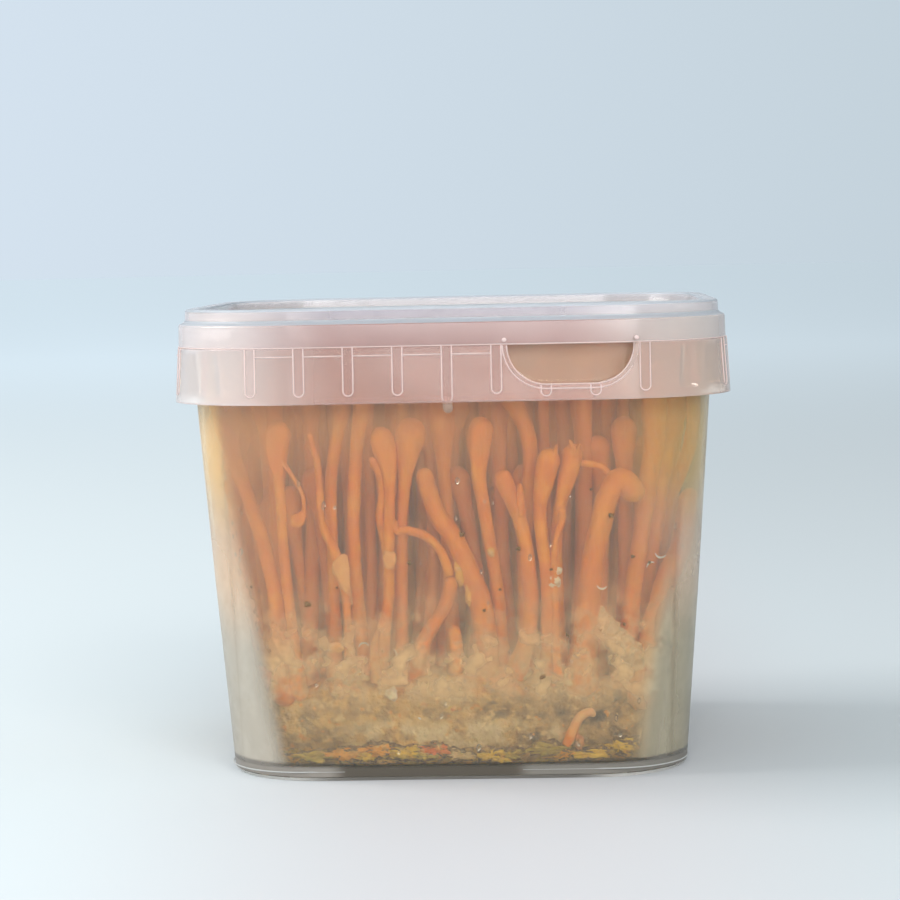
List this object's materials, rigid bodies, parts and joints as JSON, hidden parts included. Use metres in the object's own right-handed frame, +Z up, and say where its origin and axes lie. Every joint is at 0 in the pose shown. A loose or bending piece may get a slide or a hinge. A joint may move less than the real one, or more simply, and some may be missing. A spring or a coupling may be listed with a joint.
{
  "type": "cordyceps growing in a lidded tub",
  "caption": "Orange club-shaped cordyceps fruiting bodies growing from a grain block inside a milky square plastic tub with a press-on lid and a collar with a finger recess.",
  "frame": {"origin": "centre of the tub's footprint, on the surface that it stands on", "axes": "+Z up, -Y the side with the finger recess, +X to the right when that side is faced"},
  "size_m": [0.1202, 0.1202, 0.101],
  "materials": {
    "tub_plastic": "milky translucent polypropylene, satin, misted inside",
    "lid_plastic": "milky translucent polypropylene, glossy",
    "grain_block": "damp cooked grain bound by mycelium, mottled grey, cream and yellow",
    "fungus_flesh": "matt orange flesh, finely pimpled towards the heads, paler at the foot"
  },
  "bodies": {
    "root": {"tub": "tub_plastic", "lid": "lid_plastic", "substrate": "grain_block", "fruiting_body_01": "fungus_flesh", "fruiting_body_02": "fungus_flesh", "fruiting_body_03": "fungus_flesh", "fruiting_body_04": "fungus_flesh", "fruiting_body_05": "fungus_flesh", "fruiting_body_06": "fungus_flesh", "fruiting_body_07": "fungus_flesh", "fruiting_body_08": "fungus_flesh", "fruiting_body_09": "fungus_flesh", "fruiting_body_10": "fungus_flesh", "fruiting_body_11": "fungus_flesh", "fruiting_body_12": "fungus_flesh", "fruiting_body_13": "fungus_flesh", "fruiting_body_14": "fungus_flesh", "fruiting_body_15": "fungus_flesh", "fruiting_body_16": "fungus_flesh", "fruiting_body_17": "fungus_flesh", "fruiting_body_18": "fungus_flesh", "fruiting_body_19": "fungus_flesh", "fruiting_body_20": "fungus_flesh", "fruiting_body_21": "fungus_flesh", "fruiting_body_22": "fungus_flesh", "fruiting_body_23": "fungus_flesh", "fruiting_body_24": "fungus_flesh", "fruiting_body_25": "fungus_flesh", "fruiting_body_26": "fungus_flesh", "fruiting_body_27": "fungus_flesh", "fruiting_body_28": "fungus_flesh", "fruiting_body_29": "fungus_flesh", "fruiting_body_30": "fungus_flesh", "fruiting_body_31": "fungus_flesh", "fruiting_body_32": "fungus_flesh", "fruiting_body_33": "fungus_flesh", "fruiting_body_34": "fungus_flesh", "fruiting_body_35": "fungus_flesh", "fruiting_body_36": "fungus_flesh", "fruiting_body_37": "fungus_flesh", "fruiting_body_38": "fungus_flesh", "fruiting_body_39": "fungus_flesh", "fruiting_body_40": "fungus_flesh", "fruiting_body_41": "fungus_flesh", "fruiting_body_42": "fungus_flesh", "fruiting_body_43": "fungus_flesh", "fruiting_body_44": "fungus_flesh", "fruiting_body_45": "fungus_flesh", "fruiting_body_46": "fungus_flesh", "fruiting_body_47": "fungus_flesh", "fruiting_body_48": "fungus_flesh", "fruiting_body_49": "fungus_flesh", "fruiting_body_50": "fungus_flesh", "fruiting_body_51": "fungus_flesh", "fruiting_body_52": "fungus_flesh", "fruiting_body_53": "fungus_flesh", "fruiting_body_54": "fungus_flesh", "fruiting_body_55": "fungus_flesh", "fruiting_body_56": "fungus_flesh"}
  },
  "joints": []
}
